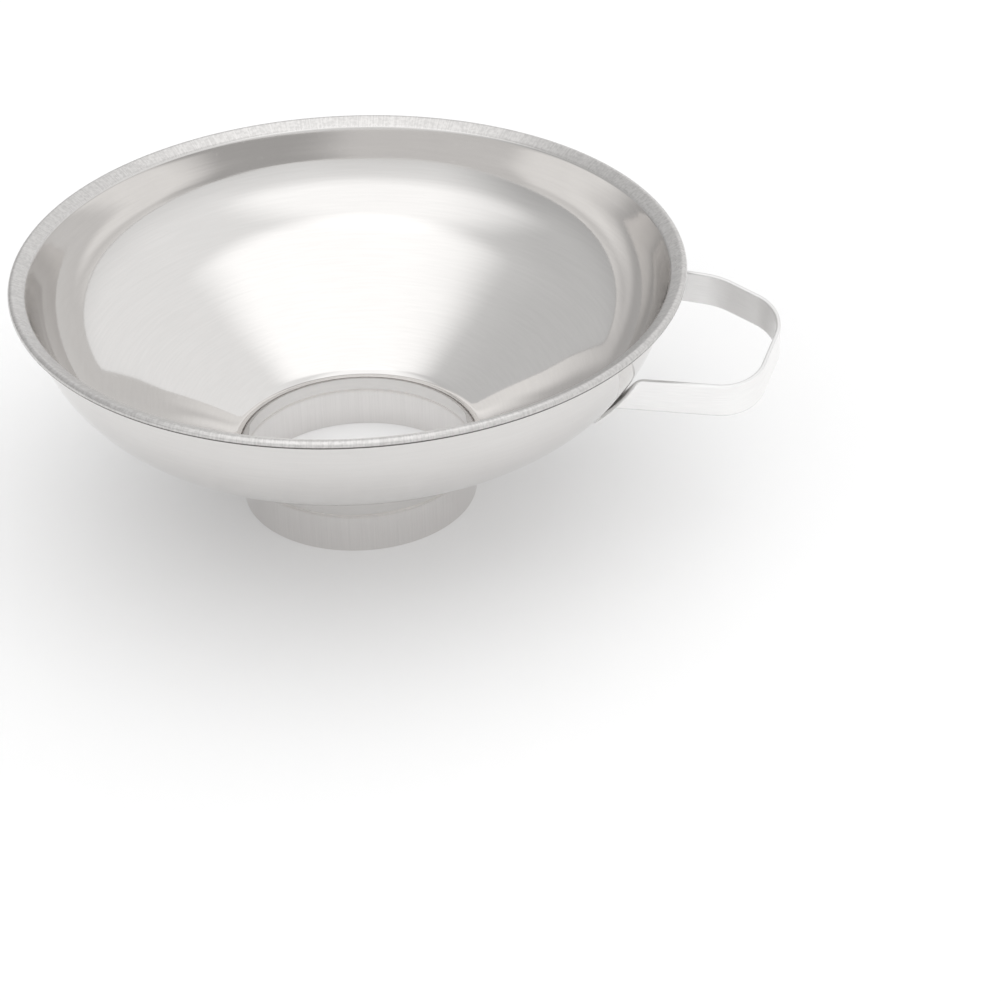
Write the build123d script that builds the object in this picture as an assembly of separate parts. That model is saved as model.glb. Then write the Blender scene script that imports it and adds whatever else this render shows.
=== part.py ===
from build123d import *
import math
import os

# Wide-mouth canning funnel in sheet stainless steel, standing on its neck.
# Origin: funnel axis, in the plane of the neck's lower edge. +Z is up, +X runs out
# through the middle of the handle.  All lengths in millimetres, angles in degrees.

# sheet and overall sizes
SHEET = 0.6
RIM_RADIUS = 70.0
TOTAL_HEIGHT = 55.8

# neck, a short straight tube that hangs inside the jar's mouth
NECK_OUTER_RADIUS = 25.5
NECK_SEAM_HEIGHT = 9.2
SEAM_BEVEL = 0.15

# bowl, measured on the face that the food slides over
LIP_HEIGHT = 13.2
LIP_ROUND = 3.2
SHOULDER_RADIUS = 62.9
SHOULDER_HEIGHT = 37.6
SHOULDER_ROUND = 27.0
CONE_BULGE = 0.3
CONE_BULGE_ROUND = 260.0
WALL_TOP_RADIUS = 66.5
WALL_TOP_HEIGHT = 54.5

# rolled rim: the sheet leans out, curls over the edge and comes back underneath
RIM_TURN_ROUND = 1.2
CURL_RADIUS = 0.85
CURL_RETURN_RADIUS = 67.9

# handle strap, standing on edge; its loop slants, with the rear arm nearer the rim
STRAP_WIDTH = 7.0
STRAP_THICKNESS = 0.9
HANDLE_HEIGHT = 39.5
HANDLE_SLANT = 0.278
TAB_BEND = 2.0
TAB_LENGTH = 8.0
TAB_SOFT_BEND = 45.0
WALL_GAP = 0.05

# loop of the strap in its slanting plane: corners of its path and the bend at each corner
FRONT_ARM_Y = -12.9
FRONT_CORNER = (85.45, FRONT_ARM_Y)
TIP_CORNER = (90.4, 9.9)
REAR_CORNER = (75.5, 18.4)
REAR_ARM_SLOPE = -0.12
FRONT_CORNER_ROUND = 9.0
TIP_CORNER_ROUND = 10.0
REAR_CORNER_ROUND = 16.0

# spot weld in the middle of each tab
WELD_RADIUS = 1.5
WELD_PROUD = 0.15


def parallel_corners(corners, distance):
    """Corners of the line that runs beside an open chain of corners, on its right-hand side."""
    points = [Vector(c) for c in corners]
    ways = [(b - a).normalized() for a, b in zip(points, points[1:])]
    rights = [Vector(w.Y, -w.X) for w in ways]
    moved = [points[0] + rights[0] * distance]
    for point, before, after in zip(points[1:], rights, rights[1:]):
        halfway = (before + after).normalized()
        moved.append(point + halfway * (distance / halfway.dot(after)))
    return moved + [points[-1] + rights[-1] * distance]


def parallel_rounds(corners, rounds, distance):
    """Bend radii for parallel_corners: smaller where the chain turns right, larger where left."""
    points = [Vector(c) for c in corners]
    ways = [(b - a).normalized() for a, b in zip(points, points[1:])]
    turns = [a.X * b.Y - a.Y * b.X for a, b in zip(ways, ways[1:])]
    return [r + math.copysign(distance, turn) for r, turn in zip(rounds, turns)]


def cone_middle():
    """Corner that bows the cone's line slightly outward, halfway up the cone."""
    bore = NECK_OUTER_RADIUS - SHEET
    run = SHOULDER_RADIUS - bore
    rise = SHOULDER_HEIGHT - LIP_HEIGHT
    length = math.hypot(run, rise)
    return Vector(
        bore + run / 2 + CONE_BULGE * rise / length,
        LIP_HEIGHT + rise / 2 - CONE_BULGE * run / length,
    )


def shoulder_centre():
    """Centre of the large round between cone and wall, in the half section."""
    corner = Vector(SHOULDER_RADIUS, SHOULDER_HEIGHT)
    cone_way = (corner - cone_middle()).normalized()
    wall_way = (Vector(WALL_TOP_RADIUS, WALL_TOP_HEIGHT) - corner).normalized()
    turn = math.acos(cone_way.dot(wall_way))
    setback = SHOULDER_ROUND * math.tan(turn / 2)
    return corner + wall_way * setback + Vector(-wall_way.Y, wall_way.X) * SHOULDER_ROUND


def outer_face(z):
    """Outer radius of the bowl's shoulder at height z, and its lean: radius gained per height."""
    centre = shoulder_centre()
    drop = centre.Y - z
    reach = math.sqrt((SHOULDER_ROUND + SHEET) ** 2 - drop**2)
    return centre.X + reach, drop / reach


def curl_start():
    """Where the leaning flange meets the round of the curl, tangent to it."""
    centre = Vector(RIM_RADIUS - CURL_RADIUS, TOTAL_HEIGHT - CURL_RADIUS)
    reach = centre - Vector(WALL_TOP_RADIUS, WALL_TOP_HEIGHT)
    lean = math.atan2(reach.Y, reach.X) + math.asin(CURL_RADIUS / reach.length)
    return centre + Vector(-math.sin(lean), math.cos(lean)) * CURL_RADIUS


def rim_curl(start, radius):
    """One face line of the curl: round the rim's edge, then back in underneath."""
    centre = Vector(RIM_RADIUS - CURL_RADIUS, TOTAL_HEIGHT - CURL_RADIUS)
    bottom = centre - Vector(0, radius)
    free_end = Vector(CURL_RETURN_RADIUS, bottom.Y)
    turn = ThreePointArc(start, centre + Vector(radius, 0), bottom)
    return [turn.edge(), Line(bottom, free_end).edge()], free_end


def bowl_section():
    """Half section of the bowl: one sheet from the neck seam to the curled rim's free edge."""
    bore = NECK_OUTER_RADIUS - SHEET
    corners = [
        (bore, NECK_SEAM_HEIGHT),
        (bore, LIP_HEIGHT),
        cone_middle(),
        (SHOULDER_RADIUS, SHOULDER_HEIGHT),
        (WALL_TOP_RADIUS, WALL_TOP_HEIGHT),
        curl_start(),
    ]
    rounds = [LIP_ROUND, CONE_BULGE_ROUND, SHOULDER_ROUND, RIM_TURN_ROUND]
    under_corners = parallel_corners(corners, SHEET)
    under_rounds = parallel_rounds(corners, rounds, SHEET)
    food_side = FilletPolyline(*corners, radius=rounds)
    under_side = FilletPolyline(*under_corners, radius=under_rounds)
    outer_curl, outer_end = rim_curl(corners[-1], CURL_RADIUS)
    inner_curl, inner_end = rim_curl(under_corners[-1], CURL_RADIUS - SHEET)
    seam_end = Line(corners[0], under_corners[0]).edge()
    free_edge = Line(outer_end, inner_end).edge()
    lines = [*food_side.edges(), *outer_curl, free_edge, *inner_curl, *under_side.edges(), seam_end]
    return make_face(lines)


def make_funnel_bowl():
    """Cone, shoulder, wall and curled rim, spun from one sheet."""
    return revolve(Plane.XZ * bowl_section(), Axis.Z, 360)


def make_neck_ring():
    """Straight tube, butt welded under the bowl's turned-down lip."""
    bore = NECK_OUTER_RADIUS - SHEET
    corners = [
        (bore, 0),
        (NECK_OUTER_RADIUS, 0),
        (NECK_OUTER_RADIUS, NECK_SEAM_HEIGHT - SEAM_BEVEL),
        (NECK_OUTER_RADIUS - SEAM_BEVEL, NECK_SEAM_HEIGHT),
        (bore, NECK_SEAM_HEIGHT),
    ]
    section = make_face(Polyline(*corners, close=True).edges())
    return revolve(Plane.XZ * section, Axis.Z, 360)


def middle_height(angle):
    """Height at which the strap's middle line would lie along the bowl at this angle."""
    height = HANDLE_HEIGHT
    for _ in range(12):
        height = HANDLE_HEIGHT + HANDLE_SLANT * math.sin(angle) * outer_face(height)[0]
    return height


def tab_spot(angle, lift):
    """Middle layer of a tab at an angle round the bowl, in the loop's slanting plane.

    lift is the height above the strap's middle line. A tab is straight across its width and
    touches the bulging bowl along that middle line.
    """
    middle = middle_height(angle)
    seat, lean = outer_face(middle)
    stand_off = (WALL_GAP + STRAP_THICKNESS / 2) * math.sqrt(1 + lean**2)
    radius = seat + stand_off
    for _ in range(12):
        height = HANDLE_HEIGHT + lift + HANDLE_SLANT * math.sin(angle) * radius
        radius = seat + stand_off + (height - middle) * lean
    return Vector(
        radius * math.cos(angle), radius * math.sin(angle) * math.sqrt(1 + HANDLE_SLANT**2)
    )


def arm_meets_bowl(start, slope, lift):
    """Angle round the bowl at which an arm's line, through start, reaches the tab's layer."""
    angle = 0.0
    for _ in range(20):
        spot = tab_spot(angle, lift)
        line_y = start[1] + slope * (spot.X - start[0])
        angle += (line_y - spot.Y) / spot.X
    return angle


def tab_reach():
    """Angle that a tab spans round the bowl."""
    return TAB_LENGTH / outer_face(HANDLE_HEIGHT)[0]


def strap_path(lift):
    """Corners of the strap's middle layer at one height, tab end to tab end, and their bends."""
    front = arm_meets_bowl(FRONT_CORNER, 0, lift)
    rear = arm_meets_bowl(REAR_CORNER, REAR_ARM_SLOPE, lift)
    span = tab_reach()
    corners = [
        tab_spot(front - span, lift),
        tab_spot(front - span / 2, lift),
        tab_spot(front, lift),
        FRONT_CORNER,
        TIP_CORNER,
        REAR_CORNER,
        tab_spot(rear, lift),
        tab_spot(rear + span / 2, lift),
        tab_spot(rear + span, lift),
    ]
    loop_rounds = [FRONT_CORNER_ROUND, TIP_CORNER_ROUND, REAR_CORNER_ROUND]
    return corners, [TAB_SOFT_BEND, TAB_BEND, *loop_rounds, TAB_BEND, TAB_SOFT_BEND]


def handle_plane(lift):
    """Slanting plane of the loop, raised by lift."""
    across = Vector(0, -HANDLE_SLANT, 1)
    return Plane(origin=(0, 0, HANDLE_HEIGHT + lift), x_dir=(1, 0, 0), z_dir=across)


def strap_outline(lift):
    """Face of the strap's thickness in the loop's plane at one height."""
    corners, rounds = strap_path(lift)
    sides = []
    for offset in (STRAP_THICKNESS / 2, -STRAP_THICKNESS / 2):
        moved = parallel_corners(corners, offset)
        sides.append(FilletPolyline(*moved, radius=parallel_rounds(corners, rounds, offset)))
    outer, inner = sides
    ends = [Line(outer @ 0, inner @ 0).edge(), Line(outer @ 1, inner @ 1).edge()]
    return handle_plane(lift) * make_face([*outer.edges(), *inner.edges(), *ends])


def tab_planes():
    """Frames on the bowl at the round end of each tab: X towards its free end, Z off the bowl."""
    planes = []
    inset = (TAB_LENGTH - STRAP_WIDTH / 2) / TAB_LENGTH
    roots = (
        (arm_meets_bowl(FRONT_CORNER, 0, 0), -1),
        (arm_meets_bowl(REAR_CORNER, REAR_ARM_SLOPE, 0), 1),
    )
    for root, side in roots:
        angle = root + side * tab_reach() * inset
        height = middle_height(angle)
        radius, lean = outer_face(height)
        out = Vector(math.cos(angle), math.sin(angle))
        centre = out * radius + Vector(0, 0, height)
        normal = out - Vector(0, 0, lean)
        slope = HANDLE_SLANT * math.cos(angle)
        free_way = (Vector(-out.Y, out.X) + (out * lean + Vector(0, 0, 1)) * slope) * side
        planes.append(Plane(origin=centre, x_dir=free_way, z_dir=normal))
    return planes


def spot_weld():
    """Low round nugget that joins a tab to the wall, seated on the local origin."""
    height = WALL_GAP + STRAP_THICKNESS + WELD_PROUD
    nugget = Cylinder(WELD_RADIUS, height, align=(Align.CENTER, Align.CENTER, Align.MIN))
    return fillet(nugget.edges().sort_by(Axis.Z)[-1], WELD_PROUD * 0.8)


def make_handle_spot_welds():
    """One weld nugget in each tab."""
    return Compound([plane * spot_weld() for plane in tab_planes()])


def make_loop_handle():
    """Flat strap standing on edge, with both ends laid along the wall and rounded off."""
    half = STRAP_WIDTH / 2
    strap = loft([strap_outline(-half), strap_outline(half)], ruled=True)
    beyond = Box(
        2 * STRAP_WIDTH,
        2 * STRAP_WIDTH,
        STRAP_WIDTH,
        align=(Align.MIN, Align.CENTER, Align.CENTER),
    )
    square_end = beyond - Cylinder(half, 2 * STRAP_WIDTH)
    for plane in tab_planes():
        strap -= plane * square_end
        strap -= plane * spot_weld()
    return strap


os.makedirs("parts", exist_ok=True)
export_step(make_funnel_bowl(), "parts/funnel_bowl.step")
export_step(make_neck_ring(), "parts/neck_ring.step")
export_step(make_loop_handle(), "parts/loop_handle.step")
export_step(make_handle_spot_welds(), "parts/handle_spot_welds.step")
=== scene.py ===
import math
import random

import bpy
from mathutils import Matrix, Vector


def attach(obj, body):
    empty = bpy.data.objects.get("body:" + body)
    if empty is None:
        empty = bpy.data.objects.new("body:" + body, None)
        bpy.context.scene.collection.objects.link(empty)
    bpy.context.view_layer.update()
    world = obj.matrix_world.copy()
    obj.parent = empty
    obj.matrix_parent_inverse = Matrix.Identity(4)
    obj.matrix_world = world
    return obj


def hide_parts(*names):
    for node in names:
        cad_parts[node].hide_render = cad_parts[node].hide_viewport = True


MM = 0.001

# sheet and overall sizes, in millimetres, the same as the CAD model's
SHEET = 0.6
RIM_RADIUS = 70.0
TOTAL_HEIGHT = 55.8
NECK_OUTER_RADIUS = 25.5
NECK_BORE = NECK_OUTER_RADIUS - SHEET
NECK_SEAM_HEIGHT = 9.2
LIP_HEIGHT = 13.2
LIP_ROUND = 3.2
SHOULDER = (62.9, 37.6)
SHOULDER_ROUND = 27.0
CONE_BULGE = 0.3
CONE_BULGE_ROUND = 260.0
WALL_TOP = (66.5, 54.5)
RIM_TURN_ROUND = 1.2
CURL_RADIUS = 0.85
CURL_RETURN_RADIUS = 67.9

STRAP_WIDTH = 7.0
STRAP_THICKNESS = 0.9
HANDLE_HEIGHT = 39.5
HANDLE_SLANT = 0.278
TAB_BEND = 2.0
TAB_LENGTH = 8.0
TAB_SOFT_BEND = 45.0
WALL_GAP = 0.05
FRONT_ARM_Y = -12.9
LOOP_CORNERS = [(85.45, FRONT_ARM_Y), (90.4, 9.9), (75.5, 18.4)]
LOOP_ROUNDS = [9.0, 10.0, 16.0]
REAR_ARM_SLOPE = -0.12
WELD_RADIUS = 1.5
WELD_PROUD = 0.15

# slow unevenness of the sheet: random seed, height, band along the sheet from and to, lobes
CONE_UNEVENNESS = (11, 0.035, 5.5, 50.0, 11)
WALL_UNEVENNESS = (23, 0.030, 40.0, 64.0, 14)
NECK_UNEVENNESS = (31, 0.02, 0.3, 9.0, 9)

# neck seam: its groove at the bowl, and the shallow upright line where the tube was joined
SEAM_DROP = 0.15
SEAM_ANGLE = 62
SEAM_LINE_DEPTH = 0.03
SEAM_LINE_WIDTH = 0.25

# steel, as linear colour, and polish
BOWL_TINT = (0.705, 0.692, 0.680)
BOWL_ROUGH = 0.065
NECK_TINT = (0.76, 0.745, 0.735)
HANDLE_TINT = (0.92, 0.915, 0.91)

# studio light by direction
LIGHT_SIDES = 1.04
LIGHT_OVERHEAD = 0.42
LIGHT_FRONT = 0.34
LIGHT_LEFT_DROP = 0.36
LIGHT_LOW_DROP = 0.16

# lathe resolution
SPIN_SEGMENTS = 540
SHEET_STEP = 1.1
CURL_STEP = 0.12
CURL_RETURN_STEP = 0.3
CURL_EDGE_ROUND = 0.06
EDGE_SHARES = (0.12, 0.35, 0.65, 0.88)

# strap and weld resolution, and rounds of the solvers that seat the tabs
STRAP_STATIONS = 420
STRAP_STEP = 0.4
WELD_SPOKES = 40
HEIGHT_ROUNDS = 12
ROOT_ROUNDS = 20

# grain: width of the lathe grooves in metres, upright lines per unit of direction, reliefs
GRAIN_PITCH = 0.00045
NECK_LINES = 95.0
BOWL_RELIEF = 0.0000022
NECK_RELIEF = 0.0000025
HANDLE_RELIEF = 0.000006
WELD_RELIEF = 0.00003

# camera, fitted to the photograph's perspective
CAMERA_DISTANCE = 0.525369
CAMERA_AZIMUTH = 13.847
CAMERA_ELEVATION = 30.982
CAMERA_PAN = -3.219
CAMERA_TILT = 3.292
CAMERA_ROLL = -3.052
CAMERA_TARGET_HEIGHT = 0.030
FOCAL_PIXELS = 2457.217
IMAGE_PIXELS = 1001
SENSOR_MM = 36.0


# ---------------------------------------------------------------- plane geometry

def unit2(v):
    return v / v.length


def left_of(v):
    return Vector((-v.y, v.x))


def arc_points(centre, start, sweep, step):
    """Points on a circle from start through an angle, both ends included."""
    arm = start - centre
    count = max(4, math.ceil(abs(sweep) * arm.length / step), math.ceil(abs(sweep) / 0.12))
    points = []
    for i in range(count + 1):
        a = sweep * i / count
        turned = Vector((arm.x * math.cos(a) - arm.y * math.sin(a),
                         arm.x * math.sin(a) + arm.y * math.cos(a)))
        points.append(centre + turned)
    return points


def line_points(start, end, step):
    """Points after start along a straight run, up to and without its end."""
    count = max(1, math.ceil((end - start).length / step))
    return [start.lerp(end, i / count) for i in range(1, count)]


def rounded_chain(corners, radii, step):
    """Evenly spaced points along an open chain with its inner corners rounded."""
    corners = [Vector(c) for c in corners]
    points = [corners[0]]
    for before, corner, after, radius in zip(corners, corners[1:], corners[2:], radii):
        way_in, way_out = unit2(corner - before), unit2(after - corner)
        turn = math.atan2(way_in.cross(way_out), way_in.dot(way_out))
        setback = radius * math.tan(abs(turn) / 2)
        start = corner - way_in * setback
        centre = start + left_of(way_in) * math.copysign(radius, turn)
        points += line_points(points[-1], start, step)
        points += arc_points(centre, start, turn, step)
    points += line_points(points[-1], corners[-1], step)
    return points + [corners[-1]]


# ---------------------------------------------------------------- meshes

def new_piece(name, vertices, faces, sharp=None):
    """Smooth-shaded mesh object; sharp is the crease angle above which shading breaks."""
    mesh = bpy.data.meshes.new(name)
    mesh.from_pydata([v * MM for v in vertices], [], faces)
    mesh.validate()
    mesh.update()
    mesh.polygons.foreach_set("use_smooth", [True] * len(mesh.polygons))
    if sharp is not None:
        mesh.set_sharp_from_angle(angle=math.radians(sharp))
    piece = bpy.data.objects.new(name, mesh)
    bpy.context.scene.collection.objects.link(piece)
    return piece


def spin(name, outline, wobble=None, sharp=None):
    """Turns a closed outline round Z. Each outline point is (place, normal, station)."""
    count = len(outline)
    vertices, faces = [], []
    for k in range(SPIN_SEGMENTS):
        angle = 2 * math.pi * k / SPIN_SEGMENTS
        c, s = math.cos(angle), math.sin(angle)
        for place, normal, station in outline:
            p = place
            if wobble is not None:
                p = place + normal * wobble(angle, station)
            vertices.append(Vector((p.x * c, p.x * s, p.y)))
    for k in range(SPIN_SEGMENTS):
        here, there = k * count, ((k + 1) % SPIN_SEGMENTS) * count
        for i in range(count):
            j = (i + 1) % count
            faces.append((here + i, there + i, there + j, here + j))
    return new_piece(name, vertices, faces, sharp)


# ---------------------------------------------------------------- bowl

def curl_start():
    """Where the leaning flange meets the round of the curl, tangent to it."""
    centre = Vector((RIM_RADIUS - CURL_RADIUS, TOTAL_HEIGHT - CURL_RADIUS))
    reach = centre - Vector(WALL_TOP)
    lean = math.atan2(reach.y, reach.x) + math.asin(CURL_RADIUS / reach.length)
    return centre + Vector((-math.sin(lean), math.cos(lean))) * CURL_RADIUS


def cone_middle():
    run, rise = SHOULDER[0] - NECK_BORE, SHOULDER[1] - LIP_HEIGHT
    length = math.hypot(run, rise)
    return Vector((NECK_BORE + run / 2 + CONE_BULGE * rise / length,
                   LIP_HEIGHT + rise / 2 - CONE_BULGE * run / length))


def shoulder_centre():
    """Centre of the large round between cone and wall, as radius and height."""
    corner = Vector(SHOULDER)
    cone_way, wall_way = unit2(corner - cone_middle()), unit2(Vector(WALL_TOP) - corner)
    turn = math.atan2(cone_way.cross(wall_way), cone_way.dot(wall_way))
    setback = SHOULDER_ROUND * math.tan(turn / 2)
    return corner + wall_way * setback + left_of(wall_way) * SHOULDER_ROUND


def food_side():
    """The face that the food slides over, from the neck seam to the curl's free edge."""
    start = curl_start()
    corners = [(NECK_BORE, NECK_SEAM_HEIGHT), (NECK_BORE, LIP_HEIGHT), cone_middle(), SHOULDER,
               WALL_TOP, start]
    radii = [LIP_ROUND, CONE_BULGE_ROUND, SHOULDER_ROUND, RIM_TURN_ROUND]
    points = rounded_chain(corners, radii, SHEET_STEP)
    centre = Vector((RIM_RADIUS - CURL_RADIUS, TOTAL_HEIGHT - CURL_RADIUS))
    arm = start - centre
    sweep = -(math.atan2(arm.y, arm.x) + math.pi / 2)
    points += arc_points(centre, start, sweep, CURL_STEP)[1:]
    free_end = Vector((CURL_RETURN_RADIUS, points[-1].y))
    points += line_points(points[-1], free_end, CURL_RETURN_STEP) + [free_end]
    return points


def with_normals(points):
    """(place, unit normal to the left, length so far) for every point of a chain."""
    result, station = [], 0.0
    for i, p in enumerate(points):
        before, after = points[max(i - 1, 0)], points[min(i + 1, len(points) - 1)]
        result.append((p, left_of(unit2(after - before)), station))
        if i + 1 < len(points):
            station += (points[i + 1] - p).length
    return result


def sheet_outline(points, thickness, edge_round):
    """Closed outline of a sheet whose left face runs through points; its far edge is rounded."""
    chain = with_normals(points)
    under = [(p - n * thickness, n, s) for p, n, s in reversed(chain)]
    last, normal, station = chain[-1]
    way = unit2(points[-1] - points[-2])
    edge = [(last.lerp(under[0][0], t) + way * edge_round * (1 - (2 * t - 1) ** 2), normal,
             station) for t in EDGE_SHARES]
    return chain + edge + under


def wobble_field(seed, amplitude, start, end, lobes):
    """Slow unevenness of pressed sheet: nothing at both ends of a band, most in its middle."""
    rng = random.Random(seed)
    waves = []
    for k in range(2, lobes):
        waves.append((k, rng.uniform(0, 2 * math.pi), rng.uniform(-0.16, 0.16),
                      rng.uniform(0.4, 1.0) / math.sqrt(k)))
    total = math.sqrt(sum(w[3] ** 2 for w in waves))

    def field(angle, station):
        t = (station - start) / (end - start)
        if not 0 < t < 1:
            return 0.0
        envelope = math.sin(math.pi * t) ** 2
        value = sum(a * math.cos(k * angle + p + g * station) for k, p, g, a in waves)
        return amplitude * envelope * value / total

    return field


def make_bowl():
    points = food_side()
    outline = sheet_outline(points, SHEET, CURL_EDGE_ROUND)
    cone = wobble_field(*CONE_UNEVENNESS)
    wall = wobble_field(*WALL_UNEVENNESS)
    return spin("bowl_sheet", outline, lambda a, s: cone(a, s) + wall(a, s), sharp=50)


# ---------------------------------------------------------------- neck

def make_neck():
    corners = [(NECK_BORE, NECK_SEAM_HEIGHT), (NECK_BORE, 0.0), (NECK_OUTER_RADIUS, 0.0),
               (NECK_OUTER_RADIUS, NECK_SEAM_HEIGHT - SEAM_DROP),
               (NECK_OUTER_RADIUS - SEAM_DROP, NECK_SEAM_HEIGHT),
               (NECK_BORE + 0.05, NECK_SEAM_HEIGHT)]
    points = rounded_chain(corners, [0.12, 0.12, 0.05, 0.03], 0.6)
    outline = [(p, Vector((1, 0)), p.y) for p in points]
    bend = wobble_field(*NECK_UNEVENNESS)
    seam_angle = math.radians(SEAM_ANGLE)

    def weld_line(angle, height):
        gap = (angle - seam_angle + math.pi) % (2 * math.pi) - math.pi
        width = gap * NECK_OUTER_RADIUS
        depth = SEAM_LINE_DEPTH * math.exp(-(width / SEAM_LINE_WIDTH) ** 2)
        return -depth if height > 0.2 else 0.0

    return spin("neck_tube", outline, lambda a, s: bend(a, s) + weld_line(a, s), sharp=50)


# ---------------------------------------------------------------- handle

def outer_face(z):
    """Outer radius of the bowl's shoulder at height z, and its lean: radius gained per height."""
    centre = shoulder_centre()
    drop = centre.y - z
    reach = math.sqrt((SHOULDER_ROUND + SHEET) ** 2 - drop ** 2)
    return centre.x + reach, drop / reach


def middle_height(angle):
    """Height at which the strap's middle line would lie along the bowl at this angle."""
    height = HANDLE_HEIGHT
    for _ in range(HEIGHT_ROUNDS):
        height = HANDLE_HEIGHT + HANDLE_SLANT * math.sin(angle) * outer_face(height)[0]
    return height


def tab_spot(angle, lift):
    """Middle layer of a tab at an angle round the bowl, in the loop's slanting plane."""
    middle = middle_height(angle)
    seat, lean = outer_face(middle)
    stand_off = (WALL_GAP + STRAP_THICKNESS / 2) * math.hypot(1, lean)
    radius = seat + stand_off
    for _ in range(HEIGHT_ROUNDS):
        height = HANDLE_HEIGHT + lift + HANDLE_SLANT * math.sin(angle) * radius
        radius = seat + stand_off + (height - middle) * lean
    return Vector((radius * math.cos(angle),
                   radius * math.sin(angle) * math.hypot(1, HANDLE_SLANT)))


def arm_meets_bowl(start, slope, lift):
    """Angle round the bowl at which an arm's line, through start, reaches the tab's layer."""
    angle = 0.0
    for _ in range(ROOT_ROUNDS):
        spot = tab_spot(angle, lift)
        angle += (start[1] + slope * (spot.x - start[0]) - spot.y) / spot.x
    return angle


def tab_span():
    """Angle that a tab spans round the bowl."""
    return TAB_LENGTH / outer_face(HANDLE_HEIGHT)[0]


def arm_roots(lift):
    """Angles round the bowl where the front and the rear arm turn into their tabs."""
    return (arm_meets_bowl(LOOP_CORNERS[0], 0, lift),
            arm_meets_bowl(LOOP_CORNERS[2], REAR_ARM_SLOPE, lift))


def strap_line(lift, step):
    """Middle line of the strap in its slanting plane, from the front tab's end to the rear's."""
    front, rear = arm_roots(lift)
    span = tab_span()
    front_tab = [tab_spot(front - span * share, lift) for share in (1, 0.5, 0)]
    rear_tab = [tab_spot(rear + span * share, lift) for share in (0, 0.5, 1)]
    rounds = [TAB_SOFT_BEND, TAB_BEND, *LOOP_ROUNDS, TAB_BEND, TAB_SOFT_BEND]
    return rounded_chain([*front_tab, *LOOP_CORNERS, *rear_tab], rounds, step)


def on_slant(p, lift):
    """Place in space of a point in the loop's slanting plane, raised by lift."""
    k = math.hypot(1, HANDLE_SLANT)
    return Vector((p.x, p.y / k, HANDLE_HEIGHT + lift + p.y * HANDLE_SLANT / k))


def resample(points, count):
    """The chain's points at even lengths, with unit normals to its right."""
    lengths = [0.0]
    for a, b in zip(points, points[1:]):
        lengths.append(lengths[-1] + (b - a).length)
    result, j = [], 0
    for i in range(count):
        want = lengths[-1] * i / (count - 1)
        while j < len(points) - 2 and lengths[j + 1] < want:
            j += 1
        span = lengths[j + 1] - lengths[j]
        result.append(points[j].lerp(points[j + 1], (want - lengths[j]) / span))
    normals = []
    for i in range(count):
        a, b = result[max(i - 1, 0)], result[min(i + 1, count - 1)]
        way = unit2(b - a)
        normals.append(Vector((way.y, -way.x)))
    return result, normals, lengths[-1]


def strap_section():
    """Outline of the strap's cross section as (height share 0 to 1, side share -1 to 1).

    Long sides are almost flat with the thin edges rounded over.
    """
    rows = [0.0, 0.012, 0.035, 0.075, 0.16, 0.3, 0.5, 0.7, 0.84, 0.925, 0.965, 0.988, 1.0]
    crown = {0.0: 0.55, 0.012: 0.80, 0.035: 0.955, 0.965: 0.955, 0.988: 0.80, 1.0: 0.55}
    outer = [(h, crown.get(h, 1.0)) for h in rows]
    inner = [(h, -crown.get(h, 1.0)) for h in reversed(rows)]
    return outer + inner


def make_strap():
    half = STRAP_WIDTH / 2
    low, low_normals, length = resample(strap_line(-half, STRAP_STEP), STRAP_STATIONS)
    high, high_normals, _ = resample(strap_line(half, STRAP_STEP), STRAP_STATIONS)
    section = strap_section()
    vertices, faces = [], []
    for i in range(STRAP_STATIONS):
        inset = min(i, STRAP_STATIONS - 1 - i) * length / (STRAP_STATIONS - 1)
        reach = 1.0
        if inset < half:
            reach = math.sqrt(max(1 - ((half - inset) / half) ** 2, 0.0025))
        for h, side in section:
            share = 0.5 + (h - 0.5) * reach
            place = low[i].lerp(high[i], share)
            normal = unit2(low_normals[i].lerp(high_normals[i], share))
            p = place + normal * side * STRAP_THICKNESS / 2
            vertices.append(on_slant(p, (share - 0.5) * STRAP_WIDTH))
    count = len(section)
    for i in range(STRAP_STATIONS - 1):
        for j in range(count):
            k = (j + 1) % count
            a, b = i * count, (i + 1) * count
            faces.append((a + j, a + k, b + k, b + j))
    faces.append(tuple(range(count))[::-1])
    faces.append(tuple((STRAP_STATIONS - 1) * count + j for j in range(count)))
    piece = new_piece("handle_strap", vertices, faces, sharp=60)
    layer = piece.data.uv_layers.new(name="along")
    for loop in piece.data.loops:
        row, column = divmod(loop.vertex_index, count)
        layer.data[loop.index].uv = (row / (STRAP_STATIONS - 1), column / count)
    return piece


def tab_frames():
    """Centre, outward normal and free direction of the round end of each tab."""
    frames = []
    inset = (TAB_LENGTH - STRAP_WIDTH / 2) / TAB_LENGTH
    for root, side in zip(arm_roots(0), (-1, 1)):
        angle = root + side * tab_span() * inset
        height = middle_height(angle)
        radius, lean = outer_face(height)
        out = Vector((math.cos(angle), math.sin(angle), 0))
        up = Vector((0, 0, 1))
        level = Vector((-out.y, out.x, 0))
        climb = (out * lean + up) * HANDLE_SLANT * math.cos(angle)
        frames.append((out * radius + up * height, unit2(out - up * lean),
                       unit2((level + climb) * side)))
    return frames


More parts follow.
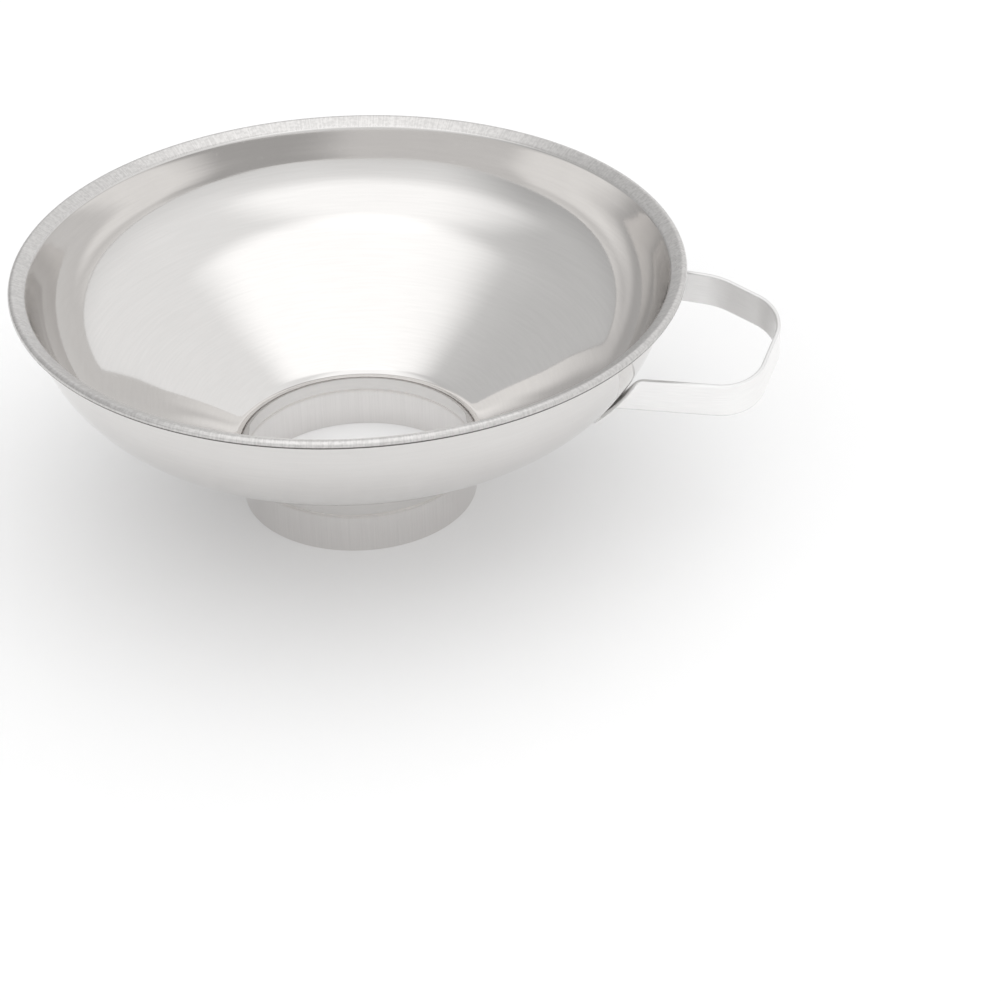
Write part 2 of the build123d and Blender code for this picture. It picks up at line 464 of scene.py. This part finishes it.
def make_welds():
    """A low round nugget in each tab, dished by the electrode."""
    top = WALL_GAP + STRAP_THICKNESS + WELD_PROUD
    rings = [(WELD_RADIUS, 0.0), (WELD_RADIUS, top - 0.12), (WELD_RADIUS - 0.05, top - 0.04),
             (WELD_RADIUS - 0.15, top), (WELD_RADIUS - 0.32, top - 0.02),
             (WELD_RADIUS - 0.55, top - 0.09), (WELD_RADIUS - 0.9, top - 0.12),
             (0.25, top - 0.13)]
    vertices, faces = [], []
    for centre, normal, along in tab_frames():
        first = len(vertices)
        across = normal.cross(along)
        for radius, height in rings:
            for k in range(WELD_SPOKES):
                a = 2 * math.pi * k / WELD_SPOKES
                spread = along * math.cos(a) + across * math.sin(a)
                vertices.append(centre + spread * radius + normal * height)
        for row in range(len(rings) - 1):
            for k in range(WELD_SPOKES):
                j = (k + 1) % WELD_SPOKES
                a, b = first + row * WELD_SPOKES, first + (row + 1) * WELD_SPOKES
                faces.append((a + k, a + j, b + j, b + k))
        faces.append(tuple(first + k for k in range(WELD_SPOKES))[::-1])
        last = first + (len(rings) - 1) * WELD_SPOKES
        faces.append(tuple(last + k for k in range(WELD_SPOKES)))
    return new_piece("tab_spot_welds", vertices, faces, sharp=50)


# ---------------------------------------------------------------- materials

class Nodes:
    """Short hand for building a node tree."""

    def __init__(self, tree):
        self.tree = tree
        tree.nodes.clear()

    def add(self, kind, settings=None, **inputs):
        node = self.tree.nodes.new(kind)
        for key, value in (settings or {}).items():
            setattr(node, key, value)
        for key, value in inputs.items():
            self.put(node, key.replace("_", " "), value)
        return node

    def put(self, node, socket, value):
        target = node.inputs[int(socket) if socket.isdigit() else socket]
        if isinstance(value, bpy.types.NodeSocket):
            self.tree.links.new(value, target)
        else:
            target.default_value = value

    def math(self, operation, *values):
        node = self.add("ShaderNodeMath", {"operation": operation})
        for i, value in enumerate(values):
            self.put(node, str(i), value)
        return node.outputs[0]

    def vector(self, operation, *values):
        node = self.add("ShaderNodeVectorMath", {"operation": operation})
        for i, value in enumerate(values):
            self.put(node, str(i), value)
        return node.outputs[1 if operation in ("LENGTH", "DOT_PRODUCT") else 0]

    def ramp(self, value, low, high, out_low, out_high):
        node = self.add("ShaderNodeMapRange", {"interpolation_type": "SMOOTHSTEP"},
                        Value=value)
        for socket, number in (("From Min", low), ("From Max", high),
                               ("To Min", out_low), ("To Max", out_high)):
            self.put(node, socket, number)
        return node.outputs["Result"]

    def noise(self, vector, scale, detail=2.0, w=None):
        settings = {"noise_dimensions": "4D" if w is not None else "3D"}
        node = self.add("ShaderNodeTexNoise", settings, Vector=vector, Scale=scale,
                        Detail=detail)
        if w is not None:
            self.put(node, "W", w)
        return node.outputs["Fac"]


def spun_coordinates(nodes):
    """Object place, height, radius and outward direction for a lathe-turned piece."""
    place = nodes.add("ShaderNodeTexCoord").outputs["Object"]
    split = nodes.add("ShaderNodeSeparateXYZ", Vector=place)
    flat = nodes.add("ShaderNodeCombineXYZ", X=split.outputs[0], Y=split.outputs[1])
    radius = nodes.vector("LENGTH", flat.outputs[0])
    way = nodes.vector("NORMALIZE", flat.outputs[0])
    return place, split.outputs[2], radius, way


def scaled(nodes, vector, factors):
    return nodes.vector("MULTIPLY", vector, factors)


def lathe_grain(nodes, way, radius, height, pitch):
    """Fine grooves that run round the axis."""
    rings = nodes.add("ShaderNodeCombineXYZ", Z=nodes.math("MULTIPLY", radius, 1 / pitch))
    slow = scaled(nodes, way, (6.0, 6.0, 0.0))
    level = nodes.math("MULTIPLY", height, 1 / pitch)
    return nodes.noise(nodes.vector("ADD", slow, rings.outputs[0]), 1.0, 3.0, w=level)


def upright_grain(nodes, way, height, count):
    """Fine lines that run up the wall of a tube."""
    lines = scaled(nodes, way, (count, count, 0.0))
    slow = nodes.add("ShaderNodeCombineXYZ", Z=nodes.math("MULTIPLY", height, 60.0))
    return nodes.noise(nodes.vector("ADD", lines, slow.outputs[0]), 1.0, 3.0)


def strap_grain(nodes):
    """Fine lines that run along the strap."""
    uv = nodes.add("ShaderNodeUVMap", {"uv_map": "along"}).outputs[0]
    return nodes.noise(scaled(nodes, uv, (18.0, 420.0, 1.0)), 1.0, 3.0)


def hairlines(nodes, place):
    """Sparse scratches of handling in two directions."""
    one = nodes.noise(scaled(nodes, place, (1900.0, 120.0, 700.0)), 1.0, 1.0)
    two = nodes.noise(scaled(nodes, place, (160.0, 2300.0, 900.0)), 1.0, 1.0)
    return nodes.math("MAXIMUM", nodes.ramp(one, 0.74, 0.79, 0.0, 1.0),
                      nodes.ramp(two, 0.75, 0.80, 0.0, 1.0))


def cloudiness(nodes, place):
    """Slow unevenness of a wiped and handled surface."""
    fine = nodes.math("MULTIPLY", nodes.noise(place, 70.0, 4.0), 0.5)
    coarse = nodes.math("MULTIPLY", nodes.noise(place, 17.0, 2.0), 0.5)
    return nodes.math("ADD", fine, coarse)


def mixed(nodes, share, low, high):
    """Colour between low and high."""
    node = nodes.add("ShaderNodeMix", {"data_type": "RGBA"})
    nodes.put(node, "0", share)
    for index, colour in ((6, low), (7, high)):
        nodes.put(node, str(index), colour)
    return node.outputs[2]


def shade(colour, factor):
    return tuple(min(c * factor, 1.0) for c in colour) + (1.0,)


def finish_metal(nodes, colour, rough, bump_height, bump_depth, anisotropy, tangent):
    bump = nodes.add("ShaderNodeBump", Strength=1.0, Distance=bump_depth, Height=bump_height)
    shader = nodes.add("ShaderNodeBsdfPrincipled", Metallic=1.0, Roughness=rough,
                       Anisotropic=anisotropy)
    nodes.put(shader, "Base Color", colour)
    nodes.put(shader, "Normal", bump.outputs[0])
    if tangent:
        nodes.put(shader, "Anisotropic Rotation", 0.25)
        nodes.put(shader, "Tangent", nodes.add("ShaderNodeTangent", tangent).outputs[0])
    output = nodes.add("ShaderNodeOutputMaterial")
    nodes.put(output, "Surface", shader.outputs[0])


def new_material(name):
    material = bpy.data.materials.new(name)
    material.use_nodes = True
    return material, Nodes(material.node_tree)


ROUND_AXIS = {"direction_type": "RADIAL", "axis": "Z"}
ALONG_STRAP = {"direction_type": "UV_MAP", "uv_map": "along"}


def bowl_steel():
    """Polished sheet with spun grain, a duller speckled rim and painted shade under the curl."""
    material, nodes = new_material("bowl_steel")
    place, height, radius, way = spun_coordinates(nodes)
    grain = lathe_grain(nodes, way, radius, height, GRAIN_PITCH)
    clouds = cloudiness(nodes, place)
    lines = hairlines(nodes, place)
    rim = nodes.math("MULTIPLY", nodes.ramp(radius, 0.0663, 0.0668, 0.0, 1.0),
                     nodes.ramp(height, 0.0540, 0.0544, 0.0, 1.0))
    # painted shade: mask for the inside and underside of the rim's curl, where shadow falls
    curl_painted_shade = nodes.math("MULTIPLY", nodes.ramp(radius, 0.0690, 0.0693, 0.0, 1.0),
                       nodes.ramp(height, 0.0546, 0.0549, 1.0, 0.0))
    ticks = nodes.noise(scaled(nodes, way, (210.0, 210.0, 0.0)), 1.0, 3.0)
    specks = nodes.noise(place, 1500.0, 2.0)
    mottle = nodes.math("MULTIPLY", nodes.math("ADD", ticks, specks), 0.5)
    base = BOWL_TINT
    sheet = mixed(nodes, nodes.ramp(grain, 0.3, 0.7, 0.0, 1.0), shade(base, 0.985),
                  shade(base, 1.012))
    sheet = mixed(nodes, nodes.ramp(clouds, 0.35, 0.65, 0.0, 0.10), sheet, shade(base, 0.86))
    flange = mixed(nodes, nodes.ramp(mottle, 0.38, 0.62, 0.0, 1.0), shade(base, 0.74),
                   shade(base, 0.90))
    colour = mixed(nodes, rim, sheet, flange)
    # painted shade: the curl's underside is mixed towards near-black to stand in for its shadow
    colour = mixed(nodes, nodes.math("MULTIPLY", curl_painted_shade, 0.85), colour, (0.05, 0.046, 0.042, 1))
    rough = nodes.ramp(clouds, 0.3, 0.7, BOWL_ROUGH - 0.02, BOWL_ROUGH + 0.025)
    rough = nodes.math("ADD", rough, nodes.math("MULTIPLY", lines, 0.08))
    rough = nodes.math("ADD", rough, nodes.math("MULTIPLY", rim, 0.22))
    rough = nodes.math("ADD", rough, nodes.math("MULTIPLY", curl_painted_shade, 0.30))
    relief = nodes.math("ADD", grain, nodes.math("MULTIPLY", rim, nodes.math("MULTIPLY", mottle,
                                                                           2.0)))
    relief = nodes.math("SUBTRACT", relief, nodes.math("MULTIPLY", lines, 0.6))
    finish_metal(nodes, colour, rough, relief, BOWL_RELIEF, 0.35, ROUND_AXIS)
    return material


def neck_steel():
    """Tube with upright brushing and a dull band where it was welded to the bowl."""
    material, nodes = new_material("neck_steel")
    place, height, _, way = spun_coordinates(nodes)
    grain = upright_grain(nodes, way, height, NECK_LINES)
    clouds = cloudiness(nodes, place)
    lines = hairlines(nodes, place)
    band = nodes.ramp(height, 0.0080, 0.0091, 0.0, 1.0)
    base = NECK_TINT
    colour = mixed(nodes, nodes.ramp(grain, 0.3, 0.7, 0.0, 1.0), shade(base, 0.97),
                   shade(base, 1.02))
    colour = mixed(nodes, nodes.math("MULTIPLY", band, 0.35), colour, (0.44, 0.40, 0.36, 1))
    rough = nodes.ramp(clouds, 0.3, 0.7, 0.13, 0.20)
    rough = nodes.math("ADD", rough, nodes.math("MULTIPLY", band, 0.12))
    rough = nodes.math("ADD", rough, nodes.math("MULTIPLY", lines, 0.06))
    relief = nodes.math("SUBTRACT", grain, nodes.math("MULTIPLY", lines, 0.5))
    finish_metal(nodes, colour, rough, relief, NECK_RELIEF, 0.0, None)
    return material


def handle_steel():
    """Satin strap, brushed along its length, darker on its sheared edges."""
    material, nodes = new_material("handle_steel")
    place = nodes.add("ShaderNodeTexCoord").outputs["Object"]
    grain = strap_grain(nodes)
    clouds = cloudiness(nodes, place)
    lines = hairlines(nodes, place)
    uv = nodes.add("ShaderNodeUVMap", {"uv_map": "along"}).outputs[0]
    across = nodes.add("ShaderNodeSeparateXYZ", Vector=uv).outputs[1]
    share = nodes.math("FRACT", nodes.math("MULTIPLY", across, 2.0))
    off_middle = nodes.math("ABSOLUTE", nodes.math("SUBTRACT", share, 0.5))
    edge = nodes.ramp(off_middle, 0.30, 0.40, 0.0, 1.0)
    base = HANDLE_TINT
    colour = mixed(nodes, nodes.ramp(grain, 0.3, 0.7, 0.0, 1.0), shade(base, 0.96),
                   shade(base, 1.03))
    colour = mixed(nodes, nodes.ramp(clouds, 0.4, 0.65, 0.0, 0.12), colour, shade(base, 0.85))
    colour = mixed(nodes, nodes.math("MULTIPLY", edge, 0.45), colour, shade(base, 0.55))
    rough = nodes.ramp(clouds, 0.3, 0.7, 0.44, 0.54)
    rough = nodes.math("SUBTRACT", rough, nodes.math("MULTIPLY", edge, 0.06))
    relief = nodes.math("SUBTRACT", grain, nodes.math("MULTIPLY", lines, 0.8))
    finish_metal(nodes, colour, rough, relief, HANDLE_RELIEF, 0.3, ALONG_STRAP)
    return material


def weld_steel():
    """Pitted nugget with a faint straw and blue heat tint."""
    material, nodes = new_material("weld_steel")
    place = nodes.add("ShaderNodeTexCoord").outputs["Object"]
    pits = nodes.noise(place, 2600.0, 3.0)
    heat = nodes.noise(place, 700.0, 1.0)
    colour = mixed(nodes, nodes.ramp(heat, 0.35, 0.65, 0.0, 1.0), (0.50, 0.43, 0.34, 1),
                   (0.43, 0.44, 0.50, 1))
    colour = mixed(nodes, nodes.ramp(pits, 0.55, 0.70, 0.0, 0.6), colour, (0.22, 0.20, 0.19, 1))
    rough = nodes.ramp(pits, 0.3, 0.7, 0.30, 0.48)
    finish_metal(nodes, colour, rough, pits, WELD_RELIEF, 0.0, None)
    return material


def floor_material():
    material = bpy.data.materials.new("pale_floor")
    material.use_nodes = True
    nodes = Nodes(material.node_tree)
    place = nodes.add("ShaderNodeTexCoord").outputs["Object"]
    cloud = nodes.noise(place, 3.0, 2.0)
    tint = nodes.ramp(cloud, 0.3, 0.7, 0.93, 0.95)
    shader = nodes.add("ShaderNodeBsdfPrincipled", Roughness=0.9)
    colour = nodes.add("ShaderNodeCombineColor", Red=tint, Green=tint, Blue=tint)
    nodes.put(shader, "Base Color", colour.outputs[0])
    nodes.put(shader, "Specular IOR Level", 0.0)
    output = nodes.add("ShaderNodeOutputMaterial")
    nodes.put(output, "Surface", shader.outputs[0])
    return material


# ---------------------------------------------------------------- studio

def make_world():
    """Soft studio: brightest overhead, bright in front, weaker low down and at the left."""
    world = bpy.data.worlds.new("studio")
    bpy.context.scene.world = world
    world.use_nodes = True
    nodes = Nodes(world.node_tree)
    way = nodes.vector("NORMALIZE", nodes.add("ShaderNodeTexCoord").outputs["Generated"])
    up = nodes.add("ShaderNodeSeparateXYZ", Vector=way).outputs[2]

    def towards(azimuth):
        a = math.radians(azimuth)
        return nodes.vector("DOT_PRODUCT", way, (math.cos(a), math.sin(a), 0.0))

    high = nodes.ramp(up, 0.30, 0.52, 0.0, 1.0)
    terms = [nodes.ramp(up, 0.80, 0.93, 0.0, LIGHT_OVERHEAD),
             nodes.math("MULTIPLY", nodes.ramp(towards(-95), 0.22, 0.60, 0.0, LIGHT_FRONT), high),
             nodes.ramp(towards(170), 0.15, 0.80, 0.0, -LIGHT_LEFT_DROP),
             nodes.ramp(up, 0.0, 0.45, -LIGHT_LOW_DROP, 0.0)]
    strength = LIGHT_SIDES
    for term in terms:
        strength = nodes.math("ADD", strength, term)
    background = nodes.add("ShaderNodeBackground", Color=(1, 1, 1, 1), Strength=strength)
    output = nodes.add("ShaderNodeOutputWorld")
    nodes.put(output, "Surface", background.outputs[0])


def make_floor():
    size = 6.0
    mesh = bpy.data.meshes.new("floor")
    corners = [(-size, -size, 0), (size, -size, 0), (size, size, 0), (-size, size, 0)]
    mesh.from_pydata(corners, [], [(0, 1, 2, 3)])
    mesh.materials.append(floor_material())
    floor = bpy.data.objects.new("floor", mesh)
    bpy.context.scene.collection.objects.link(floor)
    return floor


def make_camera():
    data = bpy.data.cameras.new("camera")
    data.sensor_width = SENSOR_MM
    data.lens = FOCAL_PIXELS / IMAGE_PIXELS * SENSOR_MM
    data.clip_start, data.clip_end = 0.01, 50.0
    camera = bpy.data.objects.new("camera", data)
    bpy.context.scene.collection.objects.link(camera)
    elevation = math.radians(CAMERA_ELEVATION)
    looking = Matrix(((1, 0, 0),
                      (0, -math.sin(elevation), -math.cos(elevation)),
                      (0, math.cos(elevation), -math.sin(elevation))))
    turned = (Matrix.Rotation(math.radians(CAMERA_ROLL), 3, "Z")
              @ Matrix.Rotation(math.radians(CAMERA_TILT), 3, "X")
              @ Matrix.Rotation(math.radians(CAMERA_PAN), 3, "Y") @ looking)
    right, down, forward = turned
    axes = Matrix((right, -down, -forward)).transposed()
    spot = Vector((0, -CAMERA_DISTANCE * math.cos(elevation),
                   CAMERA_TARGET_HEIGHT + CAMERA_DISTANCE * math.sin(elevation)))
    placed = Matrix.Translation(spot) @ axes.to_4x4()
    camera.matrix_world = Matrix.Rotation(math.radians(CAMERA_AZIMUTH), 4, "Z") @ placed
    bpy.context.scene.camera = camera
    return camera


# ---------------------------------------------------------------- build

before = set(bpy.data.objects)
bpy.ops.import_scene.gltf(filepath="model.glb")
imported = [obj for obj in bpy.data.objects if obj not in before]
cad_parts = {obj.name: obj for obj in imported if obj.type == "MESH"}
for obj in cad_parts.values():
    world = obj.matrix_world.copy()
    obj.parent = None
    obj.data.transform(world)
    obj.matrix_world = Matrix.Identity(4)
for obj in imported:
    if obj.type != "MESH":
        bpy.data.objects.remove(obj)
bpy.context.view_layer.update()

make_world()
make_floor()
make_camera()

bowl = make_bowl()
neck = make_neck()
strap = make_strap()
welds = make_welds()

for piece, material in ((bowl, bowl_steel()), (neck, neck_steel()), (strap, handle_steel()),
                        (welds, weld_steel())):
    piece.data.materials.append(material)

for piece, node, slot in ((bowl, "funnel_bowl", "bowl_steel"),
                          (neck, "neck_ring", "neck_steel"),
                          (strap, "loop_handle", "handle_steel"),
                          (welds, "handle_spot_welds", "weld_steel")):
    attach(piece, "root")
    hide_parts(node)

scene = bpy.context.scene
scene.view_settings.view_transform = "Standard"
scene.view_settings.look = "None"
scene.cycles.max_bounces = 16
scene.cycles.glossy_bounces = 16
scene.cycles.diffuse_bounces = 4
